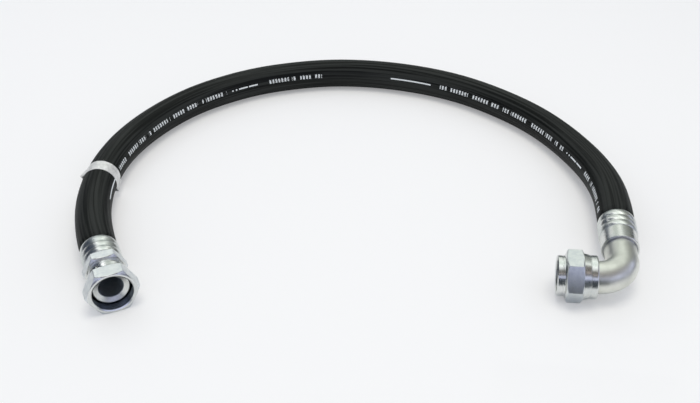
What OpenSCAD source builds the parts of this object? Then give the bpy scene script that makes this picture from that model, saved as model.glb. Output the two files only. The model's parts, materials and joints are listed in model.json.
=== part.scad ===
// Hydraulic hose assembly: a braided hose with a straight swivel-nut fitting at
// one end and a brazed 90 degree tube elbow with its own swivel nut at the other.
// Millimetres. The origin is on the straight nut's axis, at the start of its
// thread. -Y points out of that nut and +Z is up, away from the floor it lies on.

/* [Hose] */
// Outside diameter of the braided cover
hose_od = 38.1; // [37.5:0.1:39]
// Bore of the inner tube
hose_bore = 28.6; // [28.5:0.1:30]
// Wall of the rubber inner tube
tube_wall = 2.0; // [1.8:0.1:2.4]
// Thickness of the steel wire braid
braid_wall = 1.2; // [0.8:0.1:1.5]

/* [Crimped ends] */
// Length of a ferrule
ferrule_len = 26; // [24:0.5:30]
// Diameter over a ferrule's rounded beads
ferrule_od = 39.8; // [39.4:0.1:42]
// Number of rounded beads along a ferrule
bead_count = 3; // [2:1:4]
// Depth of the valleys between the beads
bead_depth = 0.9; // [0.5:0.1:1.2]
// Diameter of the cavity that squeezes the hose
ferrule_bore = 35.2; // [34.8:0.1:36]
// Thickness of the ferrule's front wall, locked in the stem's groove
ferrule_wall = 3.5; // [2.5:0.1:4]
// Outside diameter of the insert inside the hose
insert_od = 28.4; // [27.6:0.1:28.4]
// Bore of both stems
stem_bore = 24; // [20:0.5:25]

/* [Straight swivel nut] */
// Hexagon across flats
nut_af = 46; // [46:0.1:50]
// Length of the hexagon
nut_hex_len = 17; // [14:0.5:20]
// Length of the round collar behind the hexagon
nut_collar_len = 9; // [8:0.5:12]
// Diameter of the collar
nut_collar_od = 41.6; // [41.2:0.1:44]
// Minor diameter of the thread, 1 5/8-12
nut_thread_d = 39.24; // [39:0.01:39.6]
// Distance from the nut's front face to the sealing nose
nose_set_back = 9; // [8:0.5:10]
// Diameter of the sealing nose and of the head that the nut runs on
head_od = 36.6; // [36:0.1:37]

/* [Straight stem] */
// Diameter of the neck between the nut and the stem's hexagon
neck_od = 34; // [31:0.5:36]
// Length of neck that shows behind the nut
neck_len = 9; // [6:0.5:12]
// Stem hexagon across flats
stem_af = 38.1; // [36:0.1:41]
// Length of the stem's hexagon
stem_hex_len = 12; // [9:0.5:15]

/* [Elbow] */
// Outside diameter of the bent tube
elbow_od = 32; // [30:0.5:32]
// Wall of the bent tube
elbow_wall = 3.5; // [2.5:0.1:4]
// Radius of the bend at the tube's centreline
bend_r = 25; // [22:0.5:26]
// Diameter of the round collar that the tube is brazed into
collar_od = 37.6; // [36.5:0.1:39]
// Length of that collar
collar_len = 20; // [15:0.5:25]
// Depth of the collar's socket
socket_len = 10; // [6:0.5:12]
// Straight tube between the collar and the bend
leg_len = 19.5; // [18:0.5:32]
// Straight tube between the bend and the nose
arm_len = 2.5; // [2.5:0.5:12]
// How far the nut's leg tips down to the floor
elbow_tilt = 4; // [0:0.5:8]
// Turn of the elbow's hose leg away from the straight fitting's axis
elbow_turn = 33.5; // [30:0.5:42]

/* [Elbow swivel nut] */
// Hexagon across flats
nut2_af = 46; // [46:0.1:50]
// Length of the round front part
nut2_front_len = 10.5; // [9:0.5:12]
// Wall of the round front part, outside the thread
nut2_wall = 3; // [2.5:0.1:4]
// Length of the hexagon
nut2_hex_len = 14.5; // [12:0.5:16]
// Length of the taper behind the hexagon
nut2_taper_len = 6.5; // [5:0.5:8]
// Length of the rear collar
nut2_collar_len = 7; // [6:0.5:9]
// Diameter of the rear collar
nut2_collar_od = 42.6; // [41:0.1:44]
// Distance from the nut's front face to the sealing nose
nose2_set_back = 12; // [10:0.5:13]
// How far the nose, which the nut runs on, stands out from the tube
nose_step = 0.8; // [0.8:0.1:1.2]

/* [Retaining wires] */
// Diameter of the round wire that holds each nut on its stem
wire_d = 2; // [1.6:0.1:2.2]
// Diameter of the hole that the wire is fed through
wire_hole_d = 2.6; // [2.4:0.1:3]
// Distance from a wire to its nut's rear face
wire_inset = 4; // [3.5:0.5:4.5]

/* [Label] */
// Width of the tape wrapped round the hose
label_w = 18; // [12:0.5:24]
// Thickness of the tape
label_t = 0.3; // [0.2:0.05:0.5]

/* [Clearances] */
// Running clearance between a nut and what it turns on, on the radius
swivel_gap = 0.08; // [0.05:0.01:0.1]
// Clearance of the pressed and brazed joints, on the radius
seat_gap = 0.05; // [0.02:0.01:0.08]

/* [Hidden] */
$fn = 96;

eps = 0.01;                  // overlap of shapes that are joined, and overcut of holes
mouth_chamfer = 1;           // depth of the thread's entry chamfer
edge_round = 1.5;            // rounded rear edge of a nut's collar
hex_chamfer = 30;            // angle of the chamfers on a hexagon's corners
relief_len = 3;              // thread relief behind each thread
relief_depth = 1.3;          // how much deeper than the thread the relief is
seat_depth = 2.3;            // how far the seat's shallow cone goes in
nose_rim = 1;                // flat rim round the seat
head_len = 15;               // head that the straight nut runs on
groove_d = 30.8;             // stem groove that the ferrule's wall locks into
shoulder_d = 32.6;           // shoulder between that groove and the hose
shoulder_len = 2;
insert_past = 1.5;           // how far an insert reaches past its ferrule
barb_count = 3;
barb_height = 0.4;
tooth_height = 0.5;          // teeth inside a ferrule
valley_fill = 0.1;           // narrow flat left in the valleys between the beads
braze_leg = 1.3;             // leg of the brazing fillets
spigot_play = 0.5;           // the spigot ends this far before the bend
thread_play = 0.12;          // between the elbow nut's thread and the nose, on the radius
nut_rear_lip = 1.5;          // how far the elbow nut reaches past the nose
chamfer_land = 0.4;          // width by which a hexagon's chamfer cuts into its flats
mouth_flare = 1.4;           // widening of the thread's entry, per length of its chamfer
wire_hole_at = -113;         // angle of the wire holes round the nuts' axes
wire_hole2_at = 20;
front_lip = 3;               // chamfer from the elbow nut's round front up to its hexagon
front_edge = 1;              // front edge chamfer of that round part
front_groove = 0.5;          // depth of the groove round that part
groove_at = 5;               // distance from the nut's front face to that groove

// The straight fitting is measured backwards from its nut's front face
nut_len = nut_hex_len + nut_collar_len;
stem_hex_at = nut_len + neck_len;
ferrule_at = stem_hex_at + stem_hex_len;
hose_from = ferrule_wall + shoulder_len;     // where the hose starts in a ferrule
ferrule_end = ferrule_at + ferrule_len;

// The elbow nut, measured backwards from its front face
nut2_hex_at = nut2_front_len;
nut2_len = nut2_front_len + nut2_hex_len + nut2_taper_len + nut2_collar_len;
nose2_end = nut2_len - nut_rear_lip;
nose2_od = elbow_od + 2 * nose_step;
nut2_thread_d = nose2_od + 2 * thread_play;      // 33.84, the minor diameter of M36 x 2
nut2_front_od = nut2_thread_d + 2 * nut2_wall;
spigot_len = arm_len - spigot_play;

// From the ferrule's rear face to the bend's corner, and from there to the nut's front
elbow_drop = ferrule_len + collar_len + leg_len + bend_r;
elbow_reach = nose2_end + arm_len + bend_r;
elbow_lift = (elbow_reach - nut2_hex_at) * sin(elbow_tilt) - nut2_af / 2 * (1 - cos(elbow_tilt));

// Route of the hose's centreline between the rear faces of the two ferrules
floor_z = -nut_af / 2;
rest_z = floor_z + hose_od / 2;
hose_start = [0, ferrule_end - mouth_chamfer, 0];
hose_end = [506, -109, elbow_lift];
free_route = [[3, 122, -0.6], [13, 171, -2], [31, 218, -3.4], [57, 261, rest_z],
    [90, 297, rest_z], [130, 328, rest_z], [175, 352, rest_z], [222, 366, rest_z],
    [273, 372, rest_z], [322, 368, rest_z], [371, 356, rest_z], [416, 335, rest_z],
    [457, 306, rest_z], [493, 271, rest_z], [522, 231, rest_z], [544, 185, rest_z],
    [559, 138, rest_z], [566, 88, rest_z], [564, 38, -2.8], [555, -11, -0.6], [537, -58, 2]];
start_dir = [0, 1, 0];
end_dir = [-sin(elbow_turn), -cos(elbow_turn), 0];
flare_len = 8;               // the squeezed hose is back at its full size here
sides = 12;
label_seg = 1;               // the label lies between these two points of free_route
label_mid = 0.81;            // and this far along that stretch

insert_len = ferrule_len - hose_from + insert_past;
inside_len = ferrule_len - hose_from;
route = concat(
    [hose_start - inside_len * start_dir, hose_start, hose_start + flare_len * start_dir],
    free_route,
    [hose_end - flare_len * end_dir, hose_end, hose_end + inside_len * end_dir]);
last = len(route) - 1;

// Radii of the layers' boundaries, from the bore out: free, and squeezed in a ferrule
bore_r = hose_bore / 2 / cos(180 / sides);
tube_r = hose_bore / 2 + tube_wall;
braid_r = tube_r + braid_wall;
cover_r = hose_od / 2;
squeeze = (ferrule_bore / 2 - seat_gap - bore_r) / (cover_r - bore_r);
function in_ferrule(i) = i < 2 || i > last - 2;
function radius_at(r, i) = in_ferrule(i) ? bore_r + (r - bore_r) * squeeze : r;

// Direction of the route at point i: square to the fittings at its two ends
function unit(v) = v / norm(v);
function heading(i) = i < 3 ? start_dir : i > last - 3 ? end_dir : unit(route[i + 1] - route[i - 1]);

// Ring of points round a centre, square to a direction, starting at its lowest point
function ring(centre, dir, r) =
    let (side = unit(cross(dir, [0, 0, 1])), down = cross(dir, side))
    [for (k = [0:sides - 1]) let (a = 360 * k / sides)
        centre + r * (cos(a) * down + sin(a) * side)];

// Triangles of a tube wall: rings 0..n-1 outside, then as many inside
function wall_faces(n) = [
    for (i = [0:n - 2], k = [0:sides - 1], half = [0, 1])
        let (a = i * sides + k, b = i * sides + (k + 1) % sides, c = n * sides)
        each half == 0
            ? [[a, b, b + sides], [c + a, c + b + sides, c + b]]
            : [[a, b + sides, a + sides], [c + a, c + a + sides, c + b + sides]],
    for (k = [0:sides - 1])
        let (a = k, b = (k + 1) % sides, c = n * sides, e = (n - 1) * sides)
        each [[b, a, c + a], [b, c + a, c + b],
            [e + a, e + b, c + e + b], [e + a, c + e + b, c + e + a]]];

module hose_layer(r_in, r_out) {
    n = last + 1;
    points = [for (r = [r_out, r_in], i = [0:last]) each ring(route[i], heading(i), radius_at(r, i))];
    polyhedron(points, wall_faces(n));
}

// Revolves a profile about Z. Radius is the profile's X and station its Y.
module turned() { rotate_extrude() children(); }

// Profile pieces: a plain length, a taper, and a length whose far edge is rounded
module bar(from, to, r) { translate([0, from]) square([r, to - from]); }
module taper(from, to, r1, r2) { polygon([[0, from], [r1, from], [r2, to], [0, to]]); }
module rounded_bar(from, to, r, edge) {
    bar(from, to - edge, r);
    bar(from, to, r - edge);
    translate([r - edge, to - edge]) circle(edge);
}

// Hexagon with chamfered corners, flats facing +Y and -Y
module hexagon(from, length, af) {
    corner = af / 2 / cos(30);
    face = af / 2 - chamfer_land;
    rise = (corner - face) * tan(hex_chamfer);
    intersection() {
        translate([0, 0, from]) cylinder(r = corner, h = length, $fn = 6);
        turned() {
            translate([0, from]) polygon([[0, 0], [face, 0], [corner + eps, rise],
                [corner + eps, length - rise], [face, length], [0, length]]);
        }
    }
}

// Retaining wire, or its groove when it is drawn fatter
module wire_ring(at, r, d) { turned() translate([r, at]) circle(d / 2, $fn = 48); }
module wire_hole(at, angle) {
    rotate([0, 0, angle]) translate([0, 0, at]) rotate([0, 90, 0])
        cylinder(d = wire_hole_d, h = nut_af, $fn = 32);
}

// What both ends share. Station 0 is the ferrule's front, the hose lies at higher stations.
module ferrule_body() {
    bead = ferrule_len / bead_count;
    bead_r = bead * bead / (8 * bead_depth) + bead_depth / 2;
    difference() {
        turned() {
            bar(0, ferrule_len, ferrule_od / 2 - bead_depth + valley_fill);
            for (i = [0:bead_count - 1]) {
                intersection() {
                    translate([ferrule_od / 2 - bead_r, (i + 0.5) * bead]) circle(bead_r, $fn = 180);
                    translate([ferrule_bore / 2, i * bead]) square([ferrule_od, bead]);
                }
            }
        }
        turned() bar(-eps, ferrule_wall + eps, groove_d / 2 + seat_gap);
        turned() {
            difference() {
                bar(ferrule_wall, ferrule_len + eps, ferrule_bore / 2);
                for (i = [1:bead_count - 1]) {
                    translate([ferrule_bore / 2, i * bead])
                        polygon([[eps, -1], [-tooth_height, -0.4], [-tooth_height, 0.4], [eps, 1]]);
                }
            }
        }
    }
}

// Half profile of a stem's hose end, solid: lock groove, shoulder, barbed insert
module stem_tail_profile() {
    pitch = insert_len / barb_count;
    bar(-eps, ferrule_wall + eps, groove_d / 2);
    bar(ferrule_wall, hose_from, shoulder_d / 2);
    bar(0, hose_from + insert_len, insert_od / 2);
    for (i = [0:barb_count - 1]) {
        at = hose_from + (i + 0.2) * pitch;
        translate([insert_od / 2 - eps, at])
            polygon([[0, 0], [eps + barb_height, 0], [0, pitch * 0.7]]);
    }
}

module place_straight() { translate([0, -mouth_chamfer, 0]) rotate([-90, 0, 0]) children(); }
module place_straight_end() { place_straight() translate([0, 0, ferrule_at]) children(); }
module place_elbow() {
    translate(hose_end) rotate([0, 0, -elbow_turn]) rotate([0, -elbow_tilt, 0]) children();
}
module place_elbow_end() {
    place_elbow() translate([0, -ferrule_len, 0]) rotate([-90, 0, 0]) children();
}
module place_elbow_nut() {
    place_elbow() translate([-elbow_reach, -elbow_drop, 0]) rotate([0, 90, 0]) children();
}

module hose_cover() {
    color([0.09, 0.09, 0.10]) hose_layer(braid_r, cover_r);
}

module wire_braid() {
    color([0.62, 0.62, 0.60]) hose_layer(tube_r, braid_r);
}

module inner_tube() {
    color([0.05, 0.05, 0.05]) hose_layer(bore_r, tube_r);
}

module label_tape() {
    p = free_route[label_seg];
    q = free_route[label_seg + 1];
    half = label_w / 2 / norm(q - p);
    i = label_seg + 3;
    // the band keeps to the hose's own facets between its two rings
    function band(t, grow) =
        let (a = ring(p, heading(i), cover_r + grow), b = ring(q, heading(i + 1), cover_r + grow))
        [for (k = [0:sides - 1]) a[k] * (1 - t) + b[k] * t];
    ends = [label_mid - half, label_mid + half];
    color([0.86, 0.87, 0.88])
        polyhedron([for (grow = [seat_gap + label_t, seat_gap], t = ends) each band(t, grow)],
            wall_faces(2));
}

module straight_ferrule() {
    color([0.78, 0.79, 0.79]) place_straight_end() ferrule_body();
}

module straight_stem() {
    head_r = head_od / 2;
    head_end = nose_set_back + head_len;
    color([0.76, 0.77, 0.77]) place_straight() difference() {
        union() {
            turned() {
                difference() {
                    taper(nose_set_back, nose_set_back + nose_rim, head_r - nose_rim, head_r);
                    translate([0, nose_set_back]) square([stem_bore / 2, nose_rim + eps]);
                }
                bar(nose_set_back + nose_rim - eps, head_end, head_r);
                bar(head_end - eps, stem_hex_at + eps, neck_od / 2);
                translate([0, ferrule_at]) stem_tail_profile();
            }
            hexagon(stem_hex_at, stem_hex_len, stem_af);
        }
        turned() taper(nose_set_back - eps, nose_set_back + seat_depth,
            head_r - 1.5 * nose_rim, stem_bore / 2);
        turned() bar(nose_set_back, ferrule_end + insert_past + eps, stem_bore / 2);
        wire_ring(nut_len - wire_inset, head_r + swivel_gap / 2, wire_d + 2 * swivel_gap);
    }
}

module straight_swivel_nut() {
    thread_r = nut_thread_d / 2;
    run_r = head_od / 2 + swivel_gap;
    relief_end = nose_set_back + relief_len;
    wire_at = nut_len - wire_inset;
    color([0.80, 0.81, 0.80]) place_straight() difference() {
        union() {
            hexagon(0, nut_hex_len, nut_af);
            turned() rounded_bar(nut_hex_len - eps, nut_len, nut_collar_od / 2, edge_round);
        }
        turned() taper(-eps, mouth_chamfer, thread_r + mouth_flare * mouth_chamfer, thread_r);
        turned() bar(0, nose_set_back + eps, thread_r);
        turned() bar(nose_set_back, relief_end, thread_r + relief_depth);
        turned() bar(nose_set_back, nut_len + eps, run_r);
        wire_ring(wire_at, run_r - swivel_gap / 2, wire_d);
        wire_hole(wire_at, wire_hole_at);
    }
}

module straight_nut_wire() {
    color([0.55, 0.55, 0.56]) place_straight()
        wire_ring(nut_len - wire_inset, (head_od + swivel_gap) / 2, wire_d);
}

module elbow_ferrule() {
    color([0.78, 0.79, 0.79]) place_elbow_end() ferrule_body();
}

module elbow_stem() {
    color([0.76, 0.77, 0.77]) place_elbow_end() difference() {
        turned() {
            bar(-collar_len, 0, collar_od / 2);
            stem_tail_profile();
        }
        turned() bar(-collar_len - eps, socket_len - collar_len, elbow_od / 2 + seat_gap);
        turned() bar(-collar_len, ferrule_len + insert_past + eps, stem_bore / 2);
    }
}

// Fillet of brazing between a face and the tube that stands on it
module fillet_ring(r, leg) {
    turned() polygon([[r, 0], [r + leg, 0], [r, leg]]);
}

module collar_braze_ring() {
    color([0.80, 0.68, 0.42]) place_elbow_end() translate([0, 0, -collar_len])
        mirror([0, 0, 1]) fillet_ring(elbow_od / 2, braze_leg);
}

module tube_solid(r) {
    leg_from = ferrule_len + collar_len - socket_len;
    arm_to = elbow_reach - nose2_end;
    // straight leg from the collar's socket
    translate([0, -leg_from, 0]) rotate([90, 0, 0]) cylinder(r = r, h = elbow_drop - bend_r - leg_from);
    // the bend
    translate([-bend_r, bend_r - elbow_drop, 0]) rotate([0, 0, -90])
        rotate_extrude(angle = 90) translate([bend_r, 0]) circle(r);
    // arm into the nut
    translate([-bend_r, -elbow_drop, 0]) rotate([0, -90, 0]) cylinder(r = r, h = arm_to - bend_r);
}

module elbow_tube() {
    color([0.74, 0.75, 0.74]) place_elbow() difference() {
        tube_solid(elbow_od / 2);
        tube_solid(elbow_od / 2 - elbow_wall);
    }
}

module nose_braze_ring() {
    color([0.80, 0.68, 0.42]) place_elbow_nut() translate([0, 0, nose2_end])
        fillet_ring(elbow_od / 2, nose_step);
}

module elbow_nose() {
    nose_r = nose2_od / 2;
    color([0.76, 0.77, 0.77]) place_elbow_nut() difference() {
        turned() {
            taper(nose2_set_back, nose2_set_back + nose_rim, nose_r - nose_rim, nose_r);
            bar(nose2_set_back + nose_rim - eps, nose2_end, nose_r);
            bar(nose2_end - eps, nose2_end + spigot_len, elbow_od / 2 - elbow_wall - seat_gap);
        }
        turned() taper(nose2_set_back - eps, nose2_set_back + seat_depth,
            nose_r - 1.5 * nose_rim, stem_bore / 2 - 1);
        turned() bar(nose2_set_back, nose2_end + spigot_len + eps, stem_bore / 2 - 1);
        wire_ring(nut2_len - wire_inset, nose_r + swivel_gap / 2, wire_d + 2 * swivel_gap);
    }
}

module elbow_swivel_nut() {
    thread_r = nut2_thread_d / 2;
    run_r = nose2_od / 2 + swivel_gap;
    corner = nut2_af / 2 / cos(30);
    front_r = nut2_front_od / 2;
    cone_at = nut2_hex_at - front_lip;
    taper_at = nut2_hex_at + nut2_hex_len;
    collar_at = taper_at + nut2_taper_len;
    wire_at = nut2_len - wire_inset;
    color([0.80, 0.81, 0.80]) place_elbow_nut() difference() {
        union() {
            turned() {
                taper(0, front_edge, front_r - front_edge, front_r);
                bar(front_edge - eps, groove_at, front_r);
                bar(groove_at - eps, groove_at + 2 * front_groove + eps, front_r - front_groove);
                bar(groove_at + 2 * front_groove, cone_at + eps, front_r);
                rounded_bar(collar_at - eps, nut2_len, nut2_collar_od / 2, edge_round);
                taper(taper_at - eps, collar_at, nut2_af / 2, nut2_collar_od / 2);
            }
            rotate([0, 0, 30]) intersection() {
                translate([0, 0, cone_at]) cylinder(r = corner, h = taper_at - cone_at, $fn = 6);
                turned() {
                    taper(cone_at, nut2_hex_at, front_r, corner + eps);
                    bar(nut2_hex_at - eps, taper_at - edge_round, corner + eps);
                    taper(taper_at - edge_round - eps, taper_at, corner + eps, nut2_af / 2 + chamfer_land);
                }
            }
        }
        turned() taper(-eps, mouth_chamfer, thread_r + mouth_flare * mouth_chamfer, thread_r);
        turned() bar(0, nose2_set_back + eps, thread_r);
        turned() bar(nose2_set_back, nose2_set_back + relief_len, thread_r + relief_depth);
        turned() bar(nose2_set_back, nut2_len + eps, run_r);
        wire_ring(wire_at, run_r - swivel_gap / 2, wire_d);
        wire_hole(wire_at, wire_hole2_at);
    }
}

module elbow_nut_wire() {
    color([0.55, 0.55, 0.56]) place_elbow_nut()
        wire_ring(nut2_len - wire_inset, (nose2_od + swivel_gap) / 2, wire_d);
}

hose_cover();
wire_braid();
inner_tube();
label_tape();
straight_ferrule();
straight_stem();
straight_swivel_nut();
straight_nut_wire();
elbow_ferrule();
elbow_stem();
collar_braze_ring();
elbow_tube();
nose_braze_ring();
elbow_nose();
elbow_swivel_nut();
elbow_nut_wire();
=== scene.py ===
import bpy
import json
import math
import numpy as np
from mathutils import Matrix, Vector


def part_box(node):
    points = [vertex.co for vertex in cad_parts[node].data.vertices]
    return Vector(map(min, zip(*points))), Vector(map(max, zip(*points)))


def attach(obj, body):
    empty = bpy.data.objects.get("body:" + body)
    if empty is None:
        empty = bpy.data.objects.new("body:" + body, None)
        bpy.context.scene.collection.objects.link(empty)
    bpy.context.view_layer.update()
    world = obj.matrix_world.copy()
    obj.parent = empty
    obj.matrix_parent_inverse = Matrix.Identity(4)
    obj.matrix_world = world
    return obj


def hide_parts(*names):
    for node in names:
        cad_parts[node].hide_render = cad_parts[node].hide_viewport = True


# A braided hydraulic hose with a straight swivel fitting and a bent tube elbow.
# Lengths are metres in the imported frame, angles are degrees.
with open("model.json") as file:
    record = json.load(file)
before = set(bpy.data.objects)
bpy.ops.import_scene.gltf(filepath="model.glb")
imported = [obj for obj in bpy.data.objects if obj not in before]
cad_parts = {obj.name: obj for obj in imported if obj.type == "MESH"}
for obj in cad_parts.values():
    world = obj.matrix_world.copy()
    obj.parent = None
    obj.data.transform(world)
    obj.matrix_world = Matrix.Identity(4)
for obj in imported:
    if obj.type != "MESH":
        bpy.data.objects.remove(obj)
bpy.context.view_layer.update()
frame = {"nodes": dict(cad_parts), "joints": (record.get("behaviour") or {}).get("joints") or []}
scene = bpy.context.scene
scene.view_settings.view_transform = "Standard"
joints = {j["name"]: j for j in frame["joints"]}
print("frame loaded:", len(frame["nodes"]), "nodes")


# camera, floor and light

camera = dict(place=(-0.0383, -0.6414, 0.5280), tilt=55, turn=-24, lens=42.94, sensor=36, nearest=0.01)
studio = dict(floorSize=9.0, floorColour=(0.93, 0.93, 0.935), floorGlow=0.26, floorRoughness=0.5,
              floorSpecular=0.2, pale=(0.93, 0.935, 0.935), domeLevel=0.72, domeColour=(0.88, 0.92, 1.0))
# lamps: place, size, power, target, colour, and whether shiny surfaces mirror them
lamps = dict(
    keyLamp=((0.3, -0.2, 2.95), 1.7, 31, (0.28, 0.1, 0), (1.0, 0.955, 0.83), False),
    spotLamp=((-0.16, 1.05, 0.92), 0.22, 0.35, (0, 0, 0), (1, 1, 1), True))
# what the metal mirrors, as (place from 0 to 1, colour): on the camera's side by the sine of the
# elevation, and on the far side from left to right, dimmed towards the horizon by the low ramp;
# change is the stretch of the ray's y over which one side gives way to the other
mirrored = dict(
    change=(-0.15, 0.05),
    near=[(0.00, (0.035, 0.04, 0.05)), (0.17, (0.05, 0.055, 0.07)), (0.24, (0.74, 0.78, 1.08)),
          (0.48, (0.72, 0.76, 1.02)), (0.545, (0.95, 0.98, 1.20)), (0.56, (0.90, 0.92, 1.15)),
          (0.61, (0.12, 0.12, 0.13)), (0.735, (0.14, 0.13, 0.12)), (0.755, (1.00, 0.86, 0.80)),
          (0.768, (0.95, 0.82, 0.76)), (0.79, (0.13, 0.12, 0.11)), (0.92, (0.20, 0.185, 0.165)),
          (0.975, (1.00, 1.02, 1.02))],
    far=[(0.20, (0.025, 0.035, 0.06)), (0.41, (0.035, 0.05, 0.08)), (0.455, (0.90, 0.93, 0.95)),
         (0.49, (1.15, 1.15, 1.15)), (0.52, (1.00, 1.02, 1.00)), (0.57, (0.58, 0.63, 0.59)),
         (0.655, (0.58, 0.63, 0.59)), (0.71, (1.18, 1.22, 1.16)), (0.75, (1.08, 1.12, 1.08)),
         (0.80, (0.46, 0.49, 0.46)), (0.92, (0.25, 0.26, 0.24))],
    low=[(0.02, (0.12, 0.14, 0.18)), (0.14, (0.18, 0.20, 0.24)), (0.26, (1.00, 1.00, 1.00)),
         (0.66, (1.00, 1.00, 1.00)), (0.84, (1.60, 1.60, 1.60))])
# cards that only show in the metal: place, target, width, height, colour
cards = dict(elbowDark=((0.37, -0.245, 0.012), (0.42, -0.165, 0.012), 0.16, 0.068, (0.04, 0.05, 0.06)))


def aimed(thing, target):
    direction = Vector(target) - thing.location
    thing.rotation_euler = direction.to_track_quat("-Z", "Y").to_euler()


def makeCamera():
    data = bpy.data.cameras.new("camera")
    data.lens = camera["lens"]
    data.sensor_width = camera["sensor"]
    data.clip_start = camera["nearest"]
    thing = bpy.data.objects.new("camera", data)
    thing.location = camera["place"]
    thing.rotation_euler = (math.radians(camera["tilt"]), 0, math.radians(camera["turn"]))
    scene.collection.objects.link(thing)
    scene.camera = thing


def areaLamp(name, place, size, power, target, colour, inMirrors):
    data = bpy.data.lights.new(name, "AREA")
    data.shape = "DISK"
    data.size = size
    data.energy = power
    data.color = colour
    thing = bpy.data.objects.new(name, data)
    thing.location = place
    scene.collection.objects.link(thing)
    thing.visible_glossy = inMirrors
    aimed(thing, target)


def makeCard(name, place, target, width, height, colour):
    mesh = bpy.data.meshes.new(name)
    mesh.from_pydata([(-width / 2, -height / 2, 0), (width / 2, -height / 2, 0),
                      (width / 2, height / 2, 0), (-width / 2, height / 2, 0)], [], [(0, 1, 2, 3)])
    thing = bpy.data.objects.new(name, mesh)
    thing.location = place
    scene.collection.objects.link(thing)
    aimed(thing, target)
    material = bpy.data.materials.new(name)
    material.use_nodes = True
    shader = material.node_tree.nodes["Principled BSDF"]
    shader.inputs["Base Color"].default_value = (0, 0, 0, 1)
    shader.inputs["Specular IOR Level"].default_value = 0
    shader.inputs["Emission Color"].default_value = (*colour, 1)
    shader.inputs["Emission Strength"].default_value = 1
    mesh.materials.append(material)
    thing.visible_camera = thing.visible_diffuse = thing.visible_shadow = False


def makeFloor():
    low = min(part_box(n)[0].z for n in frame["nodes"])
    half = studio["floorSize"] / 2
    corners = [(-half, -half, low), (half, -half, low), (half, half, low), (-half, half, low)]
    mesh = bpy.data.meshes.new("floor")
    mesh.from_pydata(corners, [], [(0, 1, 2, 3)])
    floor = bpy.data.objects.new("floor", mesh)
    scene.collection.objects.link(floor)
    material = bpy.data.materials.new("paperFloor")
    material.use_nodes = True
    shader = material.node_tree.nodes["Principled BSDF"]
    shader.inputs["Base Color"].default_value = (*studio["floorColour"], 1)
    shader.inputs["Roughness"].default_value = studio["floorRoughness"]
    shader.inputs["Specular IOR Level"].default_value = studio["floorSpecular"]
    # the camera sees the paper part white, and the shadows on it stay
    nodes, links = material.node_tree.nodes, material.node_tree.links
    white, mix = nodes.new("ShaderNodeEmission"), nodes.new("ShaderNodeMixShader")
    path, part = nodes.new("ShaderNodeLightPath"), nodes.new("ShaderNodeMath")
    part.operation = "MULTIPLY"
    part.inputs[1].default_value = studio["floorGlow"]
    links.new(path.outputs["Is Camera Ray"], part.inputs[0])
    links.new(part.outputs[0], mix.inputs["Fac"])
    links.new(shader.outputs[0], mix.inputs[1])
    links.new(white.outputs[0], mix.inputs[2])
    links.new(mix.outputs[0], nodes["Material Output"].inputs["Surface"])
    mesh.materials.append(material)


def rampOf(nodes, links, value, stops):
    ramp = nodes.new("ShaderNodeValToRGB")
    ends = ramp.color_ramp.elements
    for k, (at, colour) in enumerate(stops):
        stop = ends[k] if k < 2 else ends.new(at)
        stop.position = at
        stop.color = (*colour, 1)
    links.new(value, ramp.inputs[0])
    return ramp.outputs[0]


def mirroredRoom(nodes, links):
    # a ray's direction picks the colour
    way = nodes.new("ShaderNodeTexCoord")
    parts = nodes.new("ShaderNodeSeparateXYZ")
    links.new(way.outputs["Generated"], parts.inputs[0])
    x, y, z = parts.outputs
    across = nodes.new("ShaderNodeMapRange")
    links.new(x, across.inputs["Value"])
    across.inputs["From Min"].default_value = -1
    side = nodes.new("ShaderNodeMapRange")
    side.interpolation_type = "SMOOTHSTEP"
    links.new(y, side.inputs["Value"])
    side.inputs["From Min"].default_value, side.inputs["From Max"].default_value = mirrored["change"]
    far = nodes.new("ShaderNodeMix")
    far.data_type, far.blend_type = "RGBA", "MULTIPLY"
    far.inputs["Factor"].default_value = 1
    links.new(rampOf(nodes, links, across.outputs[0], mirrored["far"]), far.inputs["A"])
    links.new(rampOf(nodes, links, z, mirrored["low"]), far.inputs["B"])
    both = nodes.new("ShaderNodeMix")
    both.data_type = "RGBA"
    links.new(side.outputs[0], both.inputs["Factor"])
    links.new(rampOf(nodes, links, z, mirrored["near"]), both.inputs["A"])
    links.new(far.outputs["Result"], both.inputs["B"])
    return both.outputs["Result"]


def makeWorld():
    world = bpy.data.worlds.new("studio")
    scene.world = world
    world.use_nodes = True
    nodes, links = world.node_tree.nodes, world.node_tree.links
    seen = nodes["Background"]
    seen.inputs["Color"].default_value = (*studio["pale"], 1)
    seen.inputs["Strength"].default_value = 1
    dome = nodes.new("ShaderNodeBackground")
    dome.inputs["Color"].default_value = (*studio["domeColour"], 1)
    dome.inputs["Strength"].default_value = studio["domeLevel"]
    room = nodes.new("ShaderNodeBackground")
    links.new(mirroredRoom(nodes, links), room.inputs["Color"])
    path = nodes.new("ShaderNodeLightPath")
    plain, shiny = nodes.new("ShaderNodeMixShader"), nodes.new("ShaderNodeMixShader")
    links.new(path.outputs["Is Camera Ray"], plain.inputs["Fac"])
    links.new(dome.outputs[0], plain.inputs[1])
    links.new(seen.outputs[0], plain.inputs[2])
    links.new(path.outputs["Is Glossy Ray"], shiny.inputs["Fac"])
    links.new(plain.outputs[0], shiny.inputs[1])
    links.new(room.outputs[0], shiny.inputs[2])
    links.new(shiny.outputs[0], nodes["World Output"].inputs["Surface"])


makeCamera()
makeFloor()
makeWorld()
for lampName, setting in lamps.items():
    areaLamp(lampName, *setting)
for cardName, setting in cards.items():
    makeCard(cardName, *setting)
print("camera, floor and lamps ready")


# shared tools: surfaces

def unit(v):
    v = np.asarray(v, float)
    return v / np.linalg.norm(v)


def smoothStep(low, high, x):
    # 3t^2 - 2t^3 of t = (x - low) / (high - low), held at 0 and 1 outside
    t = np.clip((x - low) / (high - low), 0, 1)
    return t * t * (3 - 2 * t)


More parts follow.
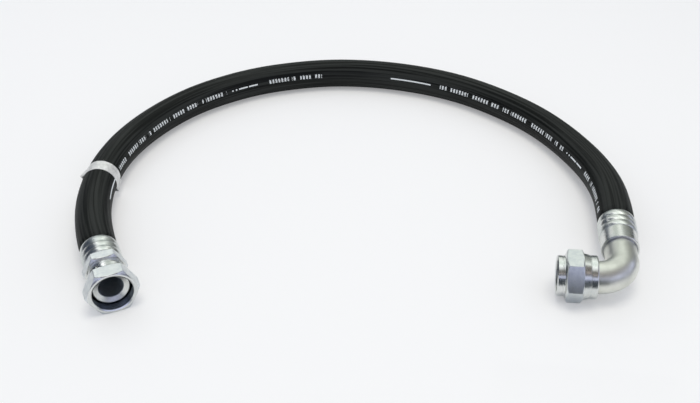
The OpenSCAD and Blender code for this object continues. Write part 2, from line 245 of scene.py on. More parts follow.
def smoothLower(a, b, blend):
    # the lower of a and b, rounded off over the width blend where they cross
    h = np.clip(0.5 + 0.5 * (b - a) / blend, 0, 1)
    return a * h + b * (1 - h) - blend * h * (1 - h)


def gridPiece(name, points, along, around, material, closeRows=True, closeColumns=True):
    # a surface of rows x columns points; along and around are the UV values in metres
    rows, columns = points.shape[:2]
    i, j = np.meshgrid(np.arange(rows if closeRows else rows - 1),
                       np.arange(columns if closeColumns else columns - 1), indexing="ij")
    i, j = i.ravel(), j.ravel()
    i2, j2 = (i + 1) % rows, (j + 1) % columns
    quads = np.stack([i * columns + j, i * columns + j2, i2 * columns + j2, i2 * columns + j], axis=1)
    flat = points.reshape(-1, 3)
    a, b, c, d = (flat[quads[:, k]] for k in range(4))
    volume = np.einsum("ij,ij->", a, np.cross(b, c)) + np.einsum("ij,ij->", a, np.cross(c, d))
    u = np.stack([along[i], along[i], along[i + 1], along[i + 1]], axis=1)
    v = np.stack([around[j], around[j + 1], around[j + 1], around[j]], axis=1)
    if volume < 0:
        quads, u, v = quads[:, ::-1], u[:, ::-1], v[:, ::-1]
    mesh = bpy.data.meshes.new(name)
    mesh.from_pydata(flat, [], quads.tolist())
    layer = mesh.uv_layers.new(name="surface")
    layer.data.foreach_set("uv", np.stack([u, v], axis=2).ravel())
    mesh.shade_smooth()
    mesh.materials.append(material)
    thing = bpy.data.objects.new(name, mesh)
    scene.collection.objects.link(thing)
    return thing


def roundedOutline(corners, step=1.5, support=0.25, share=0.45, arcPoints=6):
    # closed outline of (station, radius, rounding, step to the next) corners, each turned into an
    # arc that takes at most a share of the sides beside it
    runs = []
    for i, corner in enumerate(corners):
        p, rounding = np.array(corner[:2], float), corner[2]
        if rounding == 0:
            runs.append([p])
            continue
        toA = np.array(corners[i - 1][:2]) - p
        toB = np.array(corners[(i + 1) % len(corners)][:2]) - p
        dA, dB = unit(toA), unit(toB)
        half = math.acos(np.clip(dA @ dB, -1, 1)) / 2
        reach = min(rounding / math.tan(half), share * np.linalg.norm(toA), share * np.linalg.norm(toB))
        radius = reach * math.tan(half)
        centre = p + unit(dA + dB) * radius / math.sin(half)
        start, stop = p + dA * reach - centre, p + dB * reach - centre
        sweep = math.acos(np.clip(unit(start) @ unit(stop), -1, 1))
        turns = np.linspace(0, 1, arcPoints)
        arc = [(start * math.sin((1 - t) * sweep) + stop * math.sin(t * sweep)) / math.sin(sweep) for t in turns]
        runs.append([centre + q for q in arc])
    outline = []
    for run, following, corner in zip(runs, runs[1:] + runs[:1], corners):
        outline += run
        a, b = run[-1], following[0]
        length = np.linalg.norm(b - a)
        stride = corner[3] if len(corner) > 3 else step
        if length > 4 * support:
            middle = np.linspace(support, length - support, max(2, int(length / stride)))
            outline += [a + (b - a) * m / length for m in middle]
        elif length < 1e-6:
            outline.pop()
    return np.array(outline)


def seatOf(origin, axis):
    # u lies level and v points up, both square to the axis
    u = unit(np.cross((0, 0, 1), axis))
    return dict(origin=np.asarray(origin, float), axis=unit(axis), u=u, v=np.cross(unit(axis), u))


def revolved(name, seat, outline, angles, material, shape=None, zones=()):
    # origin + axis z + r (u cos a + v sin a), outline in millimetres, r changed by shape(z, r, a)
    # a zone gives another material to the faces between two stations and two radii
    z = np.repeat(outline[:, :1], len(angles), axis=1)
    r = np.repeat(outline[:, 1:], len(angles), axis=1)
    a = np.repeat(angles[None, :], len(outline), axis=0)
    if shape:
        r = shape(z, r, a)
    z, r = z / 1000, r / 1000
    points = seat["origin"] + z[..., None] * seat["axis"] \
        + (r * np.cos(a))[..., None] * seat["u"] + (r * np.sin(a))[..., None] * seat["v"]
    edges = np.linalg.norm(np.diff(np.vstack([outline, outline[:1]]), axis=0), axis=1)
    along = np.concatenate([[0], np.cumsum(edges)]) / 1000
    around = np.append(angles, angles[0] + 2 * math.pi) * outline[:, 1].max() / 1000
    thing = gridPiece(name, points, along, around, material)
    z, r = outline.T
    for other, low, high, least, most in zones:
        row = (z > low) & (z < high) & (r > least) & (r < most)
        slot = np.zeros(len(thing.data.polygons), np.int32)
        thing.data.polygons.foreach_get("material_index", slot)
        thing.data.materials.append(other)
        slot[np.repeat(row & np.roll(row, -1), len(angles))] = len(thing.data.materials) - 1
        thing.data.polygons.foreach_set("material_index", slot)
    return thing


def evenAngles(count):
    return np.arange(count) * 2 * math.pi / count


def hexAngles(extra=()):
    # columns gather at the six corners, and at any extra angle that needs detail
    near = np.array([0, 0.5, 1.0, 1.6, 2.4, 3.6, 5.5, 8.5, 13, 18.5, 24])
    turns = [corner + side * near for corner in range(0, 360, 60) for side in (-1, 1)] + [np.arange(30, 390, 60)]
    turns += [np.asarray(e, float) for e in extra]
    found = np.unique(np.round(np.concatenate(turns) % 360, 3))
    return np.radians(found)


def hexRadius(angles, acrossFlats, cornerBlend=0.35):
    # the nearest flat's distance along each angle, with the corners rounded between neighbours
    turn = np.mod(angles, math.pi / 3)
    left = acrossFlats / 2 / np.cos(turn - math.pi / 6)
    other = acrossFlats / 2 / np.cos(np.minimum(turn + math.pi / 6, math.pi / 3 - turn + math.pi / 6))
    return smoothLower(left, other, cornerBlend)


def hexed(radii, angles, acrossFlats, edgeBlend=0.3):
    # the bevelled bar cut down to its hexagon
    return smoothLower(radii, hexRadius(angles, acrossFlats), edgeBlend)


# shared tools: materials

def newMaterial(name):
    material = bpy.data.materials.new(name)
    material.use_nodes = True
    nodes, links = material.node_tree.nodes, material.node_tree.links
    return material, nodes, links, nodes["Principled BSDF"]


def scaledUv(nodes, links, scale, source="UV"):
    where = nodes.new("ShaderNodeTexCoord")
    mapping = nodes.new("ShaderNodeMapping")
    mapping.inputs["Scale"].default_value = scale
    links.new(where.outputs[source], mapping.inputs["Vector"])
    return mapping.outputs["Vector"]


def noise(nodes, links, vector, scale, detail=3, roughness=0.5):
    texture = nodes.new("ShaderNodeTexNoise")
    texture.inputs["Scale"].default_value = scale
    texture.inputs["Detail"].default_value = detail
    texture.inputs["Roughness"].default_value = roughness
    links.new(vector, texture.inputs["Vector"])
    return texture.outputs["Fac"]


def mapped(nodes, links, value, low, high, fromLow=0.3, fromHigh=0.7):
    spread = nodes.new("ShaderNodeMapRange")
    for socket, number in (("From Min", fromLow), ("From Max", fromHigh), ("To Min", low), ("To Max", high)):
        spread.inputs[socket].default_value = number
    links.new(value, spread.inputs["Value"])
    return spread.outputs["Result"]


def blended(nodes, links, factor, first, second):
    mix = nodes.new("ShaderNodeMix")
    mix.data_type = "RGBA"
    links.new(factor, mix.inputs["Factor"])
    for socket, value in (("A", first), ("B", second)):
        target = next(s for s in mix.inputs if s.name == socket and s.type == "RGBA")
        if isinstance(value, tuple):
            target.default_value = (*value, 1)
        else:
            links.new(value, target)
    return next(s for s in mix.outputs if s.type == "RGBA")


def bumped(nodes, links, height, shader, strength, distance):
    bump = nodes.new("ShaderNodeBump")
    bump.inputs["Strength"].default_value = strength
    bump.inputs["Distance"].default_value = distance
    links.new(height, bump.inputs["Height"])
    links.new(bump.outputs["Normal"], shader.inputs["Normal"])


def mathNode(nodes, links, operation, *values):
    node = nodes.new("ShaderNodeMath")
    node.operation = operation
    for socket, value in zip(node.inputs, values):
        if isinstance(value, (int, float)):
            socket.default_value = value
        else:
            links.new(value, socket)
    return node.outputs[0]


plate = dict(lineScale=(9000, 60, 1), lineHeight=0.00003, lineRoughness=(-0.04, 0.06), least=0.8, most=1.3)


def plated(name, pale, shade, roughness, lines=0.25, stain=55):
    # zinc plate: soft blotches of shade, and fine turning lines that run round the piece
    material, nodes, links, shader = newMaterial(name)
    shader.inputs["Metallic"].default_value = 1
    blotch = noise(nodes, links, scaledUv(nodes, links, (1, 1, 1), "Object"), stain, 4, 0.6)
    fine = noise(nodes, links, scaledUv(nodes, links, plate["lineScale"]), 1, 2)
    colour = blended(nodes, links, mapped(nodes, links, blotch, 0, 1), pale, shade)
    links.new(colour, shader.inputs["Base Color"])
    broad = mapped(nodes, links, blotch, roughness * plate["least"], roughness * plate["most"])
    narrow = mapped(nodes, links, fine, *plate["lineRoughness"])
    links.new(mathNode(nodes, links, "ADD", narrow, broad), shader.inputs["Roughness"])
    bumped(nodes, links, fine, shader, lines, plate["lineHeight"])
    return material


zincNut = plated("zincNut", (0.76, 0.77, 0.75), (0.64, 0.67, 0.66), 0.22)
zincMilled = plated("zincMilled", (0.79, 0.82, 0.81), (0.67, 0.71, 0.73), 0.36, 0.10, 240)
# painted shade: the same zinc, darkened to stand for the shade inside the straight nut's mouth
paintedShadeMetal = plated("paintedShadeMetal", (0.13, 0.15, 0.165), (0.05, 0.06, 0.07), 0.22)
boreMetal = plated("boreMetal", (0.50, 0.54, 0.56), (0.36, 0.40, 0.43), 0.6)
zincStem = plated("zincStem", (0.78, 0.78, 0.74), (0.66, 0.69, 0.68), 0.25)
zincFerrule = plated("zincFerrule", (0.80, 0.81, 0.78), (0.66, 0.70, 0.68), 0.30, 0.12)
zincTube = plated("zincTube", (0.83, 0.84, 0.78), (0.68, 0.69, 0.63), 0.38, 0.10, 38)
springWire = plated("springWire", (0.50, 0.50, 0.50), (0.36, 0.36, 0.37), 0.30)
brazeMetal = plated("brazeMetal", (0.42, 0.43, 0.42), (0.30, 0.31, 0.31), 0.34, 0.05, 300)
print("metals ready")


# the hose: three tubes that follow one smooth curve

hose = dict(
    coverRadius=0.01905, braidRadius=0.0175, tubeRadius=0.0163, boreRadius=0.0143,
    ferruleRadius=0.0175, insideLength=0.0205, flare=0.008, spacing=0.00128, columns=90,
    innerSpacing=0.006, innerColumns=48, ridges=22, ridgeHeight=0.00009, nutAhead=0.001,
    route=[(0, 0.072, 0), (0.003, 0.122, -0.0006), (0.013, 0.171, -0.002), (0.031, 0.218, -0.0034),
           (0.057, 0.261, -0.00395), (0.090, 0.297, -0.00395), (0.130, 0.328, -0.00395),
           (0.175, 0.352, -0.00395), (0.222, 0.366, -0.00395), (0.273, 0.372, -0.00395),
           (0.322, 0.368, -0.00395), (0.371, 0.356, -0.00395), (0.416, 0.335, -0.00395),
           (0.457, 0.306, -0.00395), (0.493, 0.271, -0.00395), (0.522, 0.231, -0.00395),
           (0.544, 0.185, -0.00395), (0.559, 0.138, -0.00395), (0.566, 0.088, -0.00395),
           (0.564, 0.038, -0.0028), (0.555, -0.011, -0.0006), (0.537, -0.058, 0.002),
           (0.506, -0.109, 0.00371)])

# each nut's front face stands a little ahead of its joint's origin
nutAxisOut = np.array(joints["elbow_nut_turn"]["axis"], float)
nutFace = np.array(joints["elbow_nut_turn"]["pos_m"], float) + nutAxisOut * hose["nutAhead"]
legDirection = unit(np.cross((0, 0, 1), nutAxisOut))  # from the hose's end to the elbow's corner
hoseStart = np.array(hose["route"][0])
hoseEnd = np.array(hose["route"][-1])


def splineThrough(points, startDirection, endDirection, spacing):
    # clamped cubic spline over chord length, then walked in even steps
    p = np.array(points, float)
    h = np.linalg.norm(np.diff(p, axis=0), axis=1)
    n = len(p)
    system, right = np.eye(n), np.zeros((n, 3))
    right[0], right[-1] = unit(startDirection), unit(endDirection)
    for k in range(1, n - 1):
        system[k, k - 1:k + 2] = 1 / h[k - 1], 2 / h[k - 1] + 2 / h[k], 1 / h[k]
        right[k] = 3 * ((p[k] - p[k - 1]) / h[k - 1] ** 2 + (p[k + 1] - p[k]) / h[k] ** 2)
    slope = np.linalg.solve(system, right)
    t = np.linspace(0, 1, 60, endpoint=False)[None, :, None]
    a, b, m, q, w = p[:-1, None], p[1:, None], slope[:-1, None], slope[1:, None], h[:, None, None]
    curve = a * (2 * t**3 - 3 * t**2 + 1) + m * w * (t**3 - 2 * t**2 + t) \
        + b * (3 * t**2 - 2 * t**3) + q * w * (t**3 - t**2)
    curve = np.vstack([curve.reshape(-1, 3), p[-1:]])
    run = np.concatenate([[0], np.cumsum(np.linalg.norm(np.diff(curve, axis=0), axis=1))])
    steps = np.linspace(0, run[-1], int(round(run[-1] / spacing)) + 1)
    return np.stack([np.interp(steps, run, curve[:, k]) for k in range(3)], axis=1)


def hosePath(spacing):
    free = splineThrough(hose["route"], (0, 1, 0), legDirection, spacing)
    free[:, 2] = np.maximum(free[:, 2], min(p[2] for p in hose["route"]))
    inside = np.linspace(hose["insideLength"], 0, max(2, int(hose["insideLength"] / spacing)), endpoint=False)
    start = hoseStart - inside[:, None] * np.array((0, 1, 0))
    stop = hoseEnd + inside[::-1, None] * legDirection
    return np.vstack([start, free, stop])


def lengthsAlong(path):
    return np.concatenate([[0], np.cumsum(np.linalg.norm(np.diff(path, axis=0), axis=1))])


def spokesAlong(path, around):
    # at every station, unit vectors from the inner side of the arch (angle 0) over the top
    ahead = np.gradient(path, axis=0)
    side = np.cross(ahead, (0, 0, 1))
    side /= np.linalg.norm(side, axis=1)[:, None]
    up = np.cross(side, ahead)
    up /= np.linalg.norm(up, axis=1)[:, None]
    return np.cos(around)[None, :, None] * side[:, None] + np.sin(around)[None, :, None] * up[:, None]


def tubeAlong(name, outer, inner, around, scale, material):
    # outer wall forwards, inner wall back, closed at both ends into one skin
    grids, along = [], []
    for path, radius, run in (outer, inner):
        radius = np.broadcast_to(np.asarray(radius), (len(path),)) if np.ndim(radius) < 2 else radius
        ring = radius if radius.ndim == 2 else radius[:, None]
        grids.append(path[:, None] + ring[..., None] * spokesAlong(path, around))
        along.append(run)
    points = np.vstack([grids[0], grids[1][::-1]])
    along = np.concatenate([along[0], along[1][::-1], along[0][:1]])
    return gridPiece(name, points, along, np.append(around, around[0] + 2 * math.pi) * scale, material)


def squeezed(radius, run, total):
    # a layer's radius: free on the hose, drawn in between insert and ferrule
    bore = hose["boreRadius"]
    tight = bore + (radius - bore) * (hose["ferruleRadius"] - bore) / (hose["coverRadius"] - bore)
    nearest = np.minimum(run, total - run) - hose["insideLength"]
    return tight + (radius - tight) * smoothStep(0, hose["flare"], nearest)


finePath = hosePath(hose["spacing"])
coarsePath = hosePath(hose["innerSpacing"])
fineRun, coarseRun = lengthsAlong(finePath), lengthsAlong(coarsePath)
hoseLength = fineRun[-1]
print("hose path: %d stations, %.3f m" % (len(finePath), hoseLength))

# the printed line repeats along the cover: dots, dashes, letter-like bars and one long line, as
# (middle, half length) along one period; spaces break the bars up, as (repeat, part that is kept)
lay = dict(period=0.559, start=0.400, angle=16, gap=0.0046, bar=0.0027, barAt=0.0003, barHeight=0.0026,
           stroke=0.0009, dot=0.0011, dots=(0.004, 0.010),
           strokes=((0.021, 0.007), (0.037, 0.007), (0.2765, 0.0305)), words=((0.096, 0.046), (0.434, 0.119)),
           spaces=((0.0345, 0.0300), (0.0530, 0.0460)), wearScale=(700, 900, 1), worn=0.42,
           ink=(0.74, 0.77, 0.79))
# the braid: streaks along the hose, and two sets of yarns with their waves per metre along and round it
cloth = dict(streakScale=(5, 330, 1), spread=(-0.9, 1.9), dark=(0.0036, 0.0046, 0.0041),
             pale=(0.0235, 0.0258, 0.0243), roughness=0.55, specular=0.15, yarnAlong=2100.0, yarnRound=2625.0,
             yarnHeight=0.00007, streakHeight=0.00030)
rubber = dict(colour=(0.012, 0.012, 0.012), roughness=0.5)


def makeCoverMaterial():
    material, nodes, links, shader = newMaterial("textileBraid")
    where = nodes.new("ShaderNodeTexCoord").outputs["UV"]
    split = nodes.new("ShaderNodeSeparateXYZ")
    links.new(where, split.inputs[0])
    u, v = split.outputs[0], split.outputs[1]

    def do(operation, *values):
        return mathNode(nodes, links, operation, *values)

    def near(value, middle, half):
        return do("COMPARE", value, middle, half)

    place = do("MODULO", do("ADD", u, 2 * lay["period"] - lay["start"] - hose["insideLength"]), lay["period"])
    off = do("SUBTRACT", v, math.radians(lay["angle"]) * hose["coverRadius"])
    thin = 0
    for middle in lay["dots"]:
        thin = do("MAXIMUM", thin, near(place, middle, lay["dot"]))
    for middle, half in lay["strokes"]:
        thin = do("MAXIMUM", thin, near(place, middle, half))
    thin = do("MULTIPLY", thin, near(off, 0, lay["stroke"]))
    words = 0
    for middle, half in lay["words"]:
        words = do("MAXIMUM", words, near(place, middle, half))
    bars = near(do("MODULO", u, lay["gap"]), lay["bar"] / 2 + lay["barAt"], lay["bar"] / 2)
    for period, on in lay["spaces"]:
        bars = do("MULTIPLY", bars, near(do("MODULO", u, period), on / 2, on / 2))
    speck = noise(nodes, links, scaledUv(nodes, links, lay["wearScale"]), 1, 1)
    inked = do("MULTIPLY", near(off, 0, lay["barHeight"]), do("GREATER_THAN", speck, lay["worn"]))
    bars = do("MULTIPLY", bars, inked)
    printed = do("MAXIMUM", thin, do("MULTIPLY", words, bars))

    streak = noise(nodes, links, scaledUv(nodes, links, cloth["streakScale"]), 1, 3)
    shade = mapped(nodes, links, streak, *cloth["spread"])
    bare = blended(nodes, links, shade, cloth["dark"], cloth["pale"])
    links.new(blended(nodes, links, printed, bare, lay["ink"]), shader.inputs["Base Color"])
    shader.inputs["Roughness"].default_value = cloth["roughness"]
    shader.inputs["Specular IOR Level"].default_value = cloth["specular"]

    # two sets of yarns cross at a steep angle: height is the higher of the two slanted waves
    def yarns(slant):
        return do("SINE", do("ADD", do("MULTIPLY", u, cloth["yarnAlong"]), do("MULTIPLY", v, slant)))

    weave = do("MAXIMUM", yarns(cloth["yarnRound"]), yarns(-cloth["yarnRound"]))
    height = do("ADD", do("MULTIPLY", weave, cloth["yarnHeight"]), do("MULTIPLY", streak, cloth["streakHeight"]))
    bumped(nodes, links, height, shader, 0.6, 1.0)
    return material


def makeHose():
    around = evenAngles(hose["columns"])
    ridge = hose["ridgeHeight"] * np.cos(hose["ridges"] * around)[None, :]
    outer = squeezed(hose["coverRadius"] - hose["ridgeHeight"], fineRun, hoseLength)[:, None] + ridge
    inner = squeezed(hose["braidRadius"], coarseRun, hoseLength)
    core = squeezed(hose["tubeRadius"], coarseRun, hoseLength)
    bore = np.full(len(coarsePath), hose["boreRadius"])
    plain = evenAngles(hose["innerColumns"])
    cover = tubeAlong("braidedCover", (finePath, outer, fineRun), (coarsePath, inner, coarseRun),
                      around, hose["coverRadius"], makeCoverMaterial())
    braid = tubeAlong("wireBraid", (coarsePath, inner, coarseRun), (coarsePath, core, coarseRun),
                      plain, hose["braidRadius"], springWire)
    material, nodes, links, shader = newMaterial("tubeRubber")
    shader.inputs["Base Color"].default_value = (*rubber["colour"], 1)
    shader.inputs["Roughness"].default_value = rubber["roughness"]
    tube = tubeAlong("innerTube", (coarsePath, core, coarseRun), (coarsePath, bore, coarseRun),
                     plain, hose["tubeRadius"], material)
    for thing, node, slot in ((cover, "hose_cover", "textile_braid"), (braid, "wire_braid", "braid_wire"),
                              (tube, "inner_tube", "tube_rubber")):
        place(thing, node, slot, "hose_and_fittings")
    return cover, braid, tube


def place(thing, node, slot, body):
    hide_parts(node)
    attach(thing, body)
    return thing


# label tape: a wrapped band with small wrinkles, whose ends stand off as folds (turn, height, width)
label = dict(width=0.018, rise=0.00035, inner=0.00005, wrinkle=0.00012, creaseScale=260, creaseHeight=0.0012,
             folds=((158, 0.0036, 4.5), (-24, 0.0046, 3.4)), pale=(0.90, 0.90, 0.88), shade=(0.66, 0.66, 0.64),
             metallic=0.35, roughness=0.38, stations=25, columns=120)


def makeLabel():
    material, nodes, links, shader = newMaterial("labelFoil")
    crease = noise(nodes, links, scaledUv(nodes, links, (1, 1, 1), "Object"), label["creaseScale"], 3, 0.6)
    colour = blended(nodes, links, mapped(nodes, links, crease, 0, 1), label["pale"], label["shade"])
    links.new(colour, shader.inputs["Base Color"])
    shader.inputs["Metallic"].default_value = label["metallic"]
    shader.inputs["Roughness"].default_value = label["roughness"]
    bumped(nodes, links, crease, shader, 0.5, label["creaseHeight"])
    lowest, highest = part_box("label_tape")
    middle = (np.array(lowest) + np.array(highest)) / 2
    at = fineRun[np.argmin(np.linalg.norm(finePath - middle, axis=1))]
    run = np.linspace(at - label["width"] / 2, at + label["width"] / 2, label["stations"])
    path = np.stack([np.interp(run, fineRun, finePath[:, k]) for k in range(3)], axis=1)
    degrees = [evenAngles(label["columns"]) * 180 / math.pi]
    degrees += [(turn + np.linspace(-3, 3, 13) * width) % 360 for turn, height, width in label["folds"]]
    around = np.radians(np.unique(np.round(np.concatenate(degrees), 2)))
    s, a = (run - at)[:, None] / label["width"], around[None, :]
    # a fold is a narrow bell round the band, higher at one end of the tape than at the other
    outer = hose["coverRadius"] + label["rise"] + label["wrinkle"] * np.sin(9 * a + 14 * s) * np.sin(5 * a - 21 * s)
    for turn, height, width in label["folds"]:
        away = np.angle(np.exp(1j * (a - np.radians(turn + 8 * s))))
        outer = outer + height * (0.65 - 0.6 * s) * np.exp(-(away / math.radians(width)) ** 2)
    inner = np.full(len(path), hose["coverRadius"] + label["inner"])
    tape = tubeAlong("labelTape", (path, outer, run), (path, inner, run), around, hose["coverRadius"], material)
    return place(tape, "label_tape", "label_foil", "hose_and_fittings")


cover, wireBraid, innerTube = makeHose()
tape = makeLabel()
print("hose ready: %d faces" % len(cover.data.polygons))


# the fittings, with outlines in millimetres as (station, radius, rounding)

ferruleFront = 0.026  # from a ferrule's front face to the hose's free length
straightSeat = seatOf((0, -hose["nutAhead"], 0), (0, 1, 0))
straightEndSeat = seatOf(hoseStart - np.array((0, ferruleFront, 0)), (0, 1, 0))
elbowSeat = seatOf(nutFace, -nutAxisOut)
elbowEndSeat = seatOf(hoseEnd + legDirection * ferruleFront, -legDirection)

# the barbed insert behind both stems, from its shoulder: neck, locating ring, barbs and open end
tail = dict(neck=15.4, ring=16.3, ringStart=3.5, ringEnd=5.5, shaft=14.2, barb=14.6, barbs=3, barbLength=22,
            bore=12)
# the retaining wires, and the depth and half width of their grooves
wire = dict(radius=1, points=20, columns=96, boreGroove=(0.96, 1), shaftGroove=(1.04, 1.08), groovePoints=9)
# the hole through which the wire goes in: its depth, the radii of its floor and its rim, the layer
# under the collar's surface that it dents, and the degrees to each side that get more columns
wireHole = dict(depth=2.0, floor=1.15, rim=1.4, layer=0.6, detail=6, columns=17)


def tailCorners(start):
    ringStart, ringEnd, shaft = tail["ringStart"], tail["ringEnd"], tail["shaft"]
    corners = [(0, tail["neck"], 0.2), (ringStart, tail["neck"], 0.2), (ringStart, tail["ring"], 0.2),
               (ringEnd, tail["ring"], 0.2), (ringEnd, shaft, 0)]
    for k in range(tail["barbs"]):
        rise = ringEnd + (k + 0.2) * tail["barbLength"] / tail["barbs"]
        fall = ringEnd + (k + 0.9) * tail["barbLength"] / tail["barbs"]
        corners += [(rise, shaft, 0), (rise, tail["barb"], 0.1), (fall, shaft, 0)]
    end = ringEnd + tail["barbLength"]
    corners += [(end, shaft, 0.4), (end, tail["bore"], 0.3)]
    return [(station + start, *rest) for station, *rest in corners]


def boreGroove(at, r):
    # a round groove cut outwards into a bore, walked from its far side
    deep, half = wire["boreGroove"]
    turns = np.linspace(0, math.pi, wire["groovePoints"])
    return [(at - half * math.cos(t), r + deep * math.sin(t), 0) for t in turns][::-1]


def shaftGroove(at, r):
    # the same groove, cut inwards into a shaft
    deep, half = wire["shaftGroove"]
    turns = np.linspace(0, math.pi, wire["groovePoints"])
    return [(at - half * math.cos(t), r - deep * math.sin(t), 0) for t in turns]


def threadDepth(z, a, thread, runOut=0.7):
    # flat crests an eighth and roots a quarter of the pitch wide, run out at both ends
    t = np.mod(z / thread["pitch"] - a / (2 * math.pi), 1)
    w = np.abs(2 * t - 1)
    shape = np.clip((w - 0.125) / 0.625, 0, 1)
    start, end = thread["start"], thread["end"]
    return thread["depth"] * shape * smoothStep(start, start + runOut, z) * (1 - smoothStep(end - runOut, end, z))


def nutShape(nut, slack=1e-6, skin=0.01, leastWall=1.5):
    # hexagon, thread and wire hole, each over its own stations and radii
    thread, hole = nut["thread"], nut["hole"]

    def shape(z, r, a):
        outside = (r > thread["minor"] + leastWall) & (z >= nut["hexFrom"] - slack) & (z <= nut["hexTo"] + slack)
        r = np.where(outside, hexed(r, a, nut["flats"]), r)
        wall = (z > thread["start"]) & (z < thread["end"]) & (r < thread["minor"] + skin)
        r = np.where(wall, r + threadDepth(z, a, thread), r)
        # distance from the hole's middle, along the collar and round it
        aside = hole["radius"] * np.angle(np.exp(1j * (a - math.radians(hole["turn"]))))
        away = np.hypot(z - hole["at"], aside)
        dent = wireHole["depth"] * (1 - smoothStep(wireHole["floor"], wireHole["rim"], away))
        return np.where(r > hole["radius"] - wireHole["layer"], r - dent * (z > nut["hexTo"]), r)

    return shape


def makeNut(name, node, body, seat, nut):
    # columns gather at the hexagon's corners and at the wire's hole
    hole = nut["hole"]["turn"] + np.linspace(-wireHole["detail"], wireHole["detail"], wireHole["columns"])
    outline = roundedOutline(nut["corners"], 1.0)
    thing = revolved(name, seat, outline, hexAngles([hole]), zincNut, nutShape(nut), nut["zones"])
    place(thing, node, "zinc_nut", body)


def makeWire(name, node, seat, at, r, body):
    turns = evenAngles(wire["points"])
    outline = np.stack([at + wire["radius"] * np.cos(turns), r + wire["radius"] * np.sin(turns)], axis=1)
    place(revolved(name, seat, outline, evenAngles(wire["columns"]), springWire), node, "spring_wire", body)


ferrule = dict(length=26, radius=19.9, beadDepth=0.9, fill=0.1, beads=3, cavity=17.6, frontBore=15.45,
               frontWall=3.5, frontOuter=18.6, mouth=18.8, tooth=0.5, edge=0.2, stations=97, columns=144)


def makeFerrule(name, node, seat):
    bead = ferrule["length"] / ferrule["beads"]
    stations = np.linspace(0, ferrule["length"], ferrule["stations"])
    # each bead bulges as a parabola over its own length, on a narrow flat valley
    across = (np.mod(stations, bead) / bead - 0.5) * 2
    across[-1] = 1
    radii = np.maximum(ferrule["radius"] - ferrule["beadDepth"] * across ** 2,
                       ferrule["radius"] - ferrule["beadDepth"] + ferrule["fill"])
    outer = np.stack([stations, radii], axis=1)
    end, cavity, bore = ferrule["length"], ferrule["cavity"], ferrule["frontBore"]
    wall, edge, tooth = ferrule["frontWall"], ferrule["edge"], ferrule["cavity"] - ferrule["tooth"]
    # inside, from the hose's end: flared mouth, two teeth, and the wall behind the insert's ring
    inner = [(end, ferrule["mouth"]), (end - 0.25, ferrule["mouth"] - 0.4), (end - 0.3, cavity + 0.3),
             (end - 0.6, cavity)]
    for middle in (bead * 2, bead):
        inner += [(middle + 1, cavity), (middle + 0.4, tooth), (middle - 0.4, tooth), (middle - 1, cavity)]
    inner += [(wall + edge, cavity), (wall, cavity - edge), (wall, bore + edge), (wall - edge, bore),
              (edge, bore), (0, bore + edge), (0, ferrule["frontOuter"])]
    thing = revolved(name, seat, np.vstack([outer, inner]), evenAngles(ferrule["columns"]), zincFerrule)
    place(thing, node, "zinc_ferrule", "hose_and_fittings")


# straight end, from the nut's front face: a hexagon with a round collar behind it, and a stem with
# its own hexagon; zones are (material, two stations, two radii)
straightThread = dict(minor=19.62, start=1, end=9, pitch=25.4 / 12, depth=1.02)
straightNut = dict(
    flats=46, hexFrom=0, hexTo=17, thread=straightThread, hole=dict(at=22, turn=67, radius=20.8),
    # the second zone paints shade: the mouth's inner wall and thread take the darkened zinc
    zones=[(zincMilled, 0.2, 16.8, 22.7, 30), (paintedShadeMetal, 0.5, 14, 10, 21.6)],
    corners=[(0, 21.02, 0.12), (0, 22.6, 0.15), (2.285, 26.56, 0), (14.715, 26.56, 0), (17, 22.6, 0.2),
             (17, 20.8, 0.3), (26, 20.8, 1.5), (26, 18.38, 0.3), *boreGroove(22, 18.38),
             (12, 18.38, 0.1), (12, 20.92, 0.3), (straightThread["end"], 20.92, 0.3),
             (straightThread["end"], straightThread["minor"], 0, 0.15),
             (straightThread["start"], straightThread["minor"], 0)])
straightStem = dict(
    flats=38.1, hexFrom=35, hexTo=47, barRadius=17.5,
    zones=[(zincMilled, 35.2, 46.8, 18.7, 30), (boreMetal, 0, 80, 5, 12.6)],
    corners=[(9, 16.8, 0.12), (9, 17.3, 0.1), (10, 18.3, 0.3), *shaftGroove(22, 18.3), (24, 18.3, 0.3),
             (24, 17, 0.2), (35, 17, 0.5), (35, 18.65, 0.15), (36.93, 22.0, 0), (45.07, 22.0, 0),
             (47, 18.65, 0.15), *tailCorners(47), (11.3, 12, 0.4)])


def stemShape(z, r, a):
    stem, slack = straightStem, 1e-6
    onHexagon = (r > stem["barRadius"]) & (z >= stem["hexFrom"] - slack) & (z <= stem["hexTo"] + slack)
    return np.where(onHexagon, hexed(r, a, stem["flats"]), r)


def makeStraightEnd():
    makeNut("straightNut", "straight_swivel_nut", "straight_nut", straightSeat, straightNut)
    outline = roundedOutline(straightStem["corners"], 1.0)
    stem = revolved("straightStem", straightSeat, outline, hexAngles(), zincStem, stemShape, straightStem["zones"])
    place(stem, "straight_stem", "zinc_stem", "hose_and_fittings")
    makeWire("straightWire", "straight_nut_wire", straightSeat, 22, 18.34, "straight_nut")
    makeFerrule("straightFerrule", "straight_ferrule", straightEndSeat)


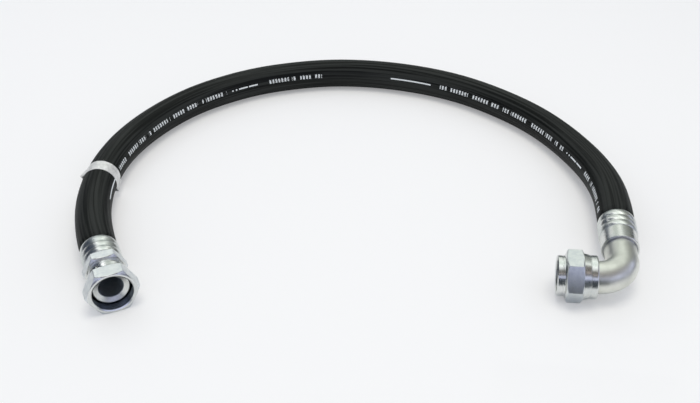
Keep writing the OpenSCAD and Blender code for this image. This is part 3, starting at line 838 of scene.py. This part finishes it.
# elbow end: the stem from its ferrule's front face, the nose and the nut from the nut's front face
elbowStem = dict(columns=144, corners=[
    (-20, 16.05, 0.1), (-20, 18.8, 0.7), (0, 18.8, 0.5), *tailCorners(0), (-10, 12, 0.2), (-10, 16.05, 0.2)])
elbowNose = dict(columns=120, corners=[
    (12, 15.3, 0.12), (12, 15.8, 0.1), (13, 16.8, 0.3), *shaftGroove(34.5, 16.8), (37, 16.8, 0.3),
    (37, 12.45, 0.1), (39, 12.45, 0.2), (39, 11, 0.2), (14.3, 11, 0.4)])
elbowThread = dict(minor=16.92, start=1, end=12, pitch=2, depth=1.08)
elbowNut = dict(
    flats=46, hexFrom=7.5, hexTo=25, thread=elbowThread, hole=dict(at=34.5, turn=-70, radius=21.3),
    zones=[(zincMilled, 8.8, 24.9, 22.7, 30)],
    corners=[(0, 18.32, 0.12), (0, 18.92, 0.2), (1, 19.92, 0.4), (5, 19.92, 0.25), (5, 19.42, 0.1),
             (6, 19.42, 0.1), (6, 19.92, 0.2), (7.5, 19.92, 0.15), (10.5, 26.56, 0), (23.5, 26.56, 0),
             (25, 23.4, 0.15), (25, 23, 0.15), (31.3, 21.35, 0.2), (31.5, 21.05, 0.1), (31.9, 21.05, 0.1),
             (32.1, 21.3, 0.2), (38.5, 21.3, 1.5), (38.5, 16.88, 0.3), *boreGroove(34.5, 16.88),
             (15, 16.88, 0.1), (15, 18.22, 0.3), (elbowThread["end"], 18.22, 0.3),
             (elbowThread["end"], elbowThread["minor"], 0, 0.15), (elbowThread["start"], elbowThread["minor"], 0)])
# the bent tube in metres: from the hose's end to where it starts, where it bends and its corner,
# and from the corner to its other end
bend = dict(start=0.036, leg=0.0655, corner=0.0905, radius=0.025, arm=0.0275, outer=0.016, inner=0.0125,
            columns=128)


def makeFillet(name, node, seat, at, r, leg, back, points=7, columns=120):
    # concave brazing fillet between a face and the tube that stands on it
    turns = np.linspace(math.pi, 1.5 * math.pi, points)
    way = -1 if back else 1
    outline = [(at, r)] + [(at + way * leg * (1 + math.cos(t)), r + leg * (1 + math.sin(t))) for t in turns]
    thing = revolved(name, seat, np.array(outline), evenAngles(columns), brazeMetal)
    place(thing, node, "braze_metal", "hose_and_fittings")


def makeTube():
    corner = hoseEnd + legDirection * bend["corner"]
    leg = hoseEnd + np.linspace(bend["start"], bend["leg"], 30, endpoint=False)[:, None] * legDirection
    centre = corner - legDirection * bend["radius"] + nutAxisOut * bend["radius"]
    t = np.linspace(0, math.pi / 2, 61)[:, None]
    curve = centre - nutAxisOut * bend["radius"] * np.cos(t) + legDirection * bend["radius"] * np.sin(t)
    arm = corner + np.linspace(bend["radius"], bend["arm"], 5)[1:, None] * nutAxisOut
    path = np.vstack([leg, curve, arm])
    run = lengthsAlong(path)
    walls = [(path, np.full(len(path), bend[wall]), run) for wall in ("outer", "inner")]
    tube = tubeAlong("elbowTube", *walls, evenAngles(bend["columns"]), bend["outer"], zincTube)
    place(tube, "elbow_tube", "zinc_tube", "hose_and_fittings")


def makeTurned(name, node, seat, part):
    thing = revolved(name, seat, roundedOutline(part["corners"]), evenAngles(part["columns"]), zincStem)
    place(thing, node, "zinc_stem", "hose_and_fittings")


def makeElbowEnd():
    makeFerrule("elbowFerrule", "elbow_ferrule", elbowEndSeat)
    makeTurned("elbowStem", "elbow_stem", elbowEndSeat, elbowStem)
    makeFillet("collarBraze", "collar_braze_ring", elbowEndSeat, -20, 16, 1.3, True)
    makeFillet("noseBraze", "nose_braze_ring", elbowSeat, 37, 16, 0.8, False)
    makeTube()
    makeTurned("elbowNose", "elbow_nose", elbowSeat, elbowNose)
    makeNut("elbowNut", "elbow_swivel_nut", "elbow_nut", elbowSeat, elbowNut)
    makeWire("elbowWire", "elbow_nut_wire", elbowSeat, 34.5, 16.84, "elbow_nut")


makeStraightEnd()
print("straight end ready")
makeElbowEnd()
print("elbow end ready")
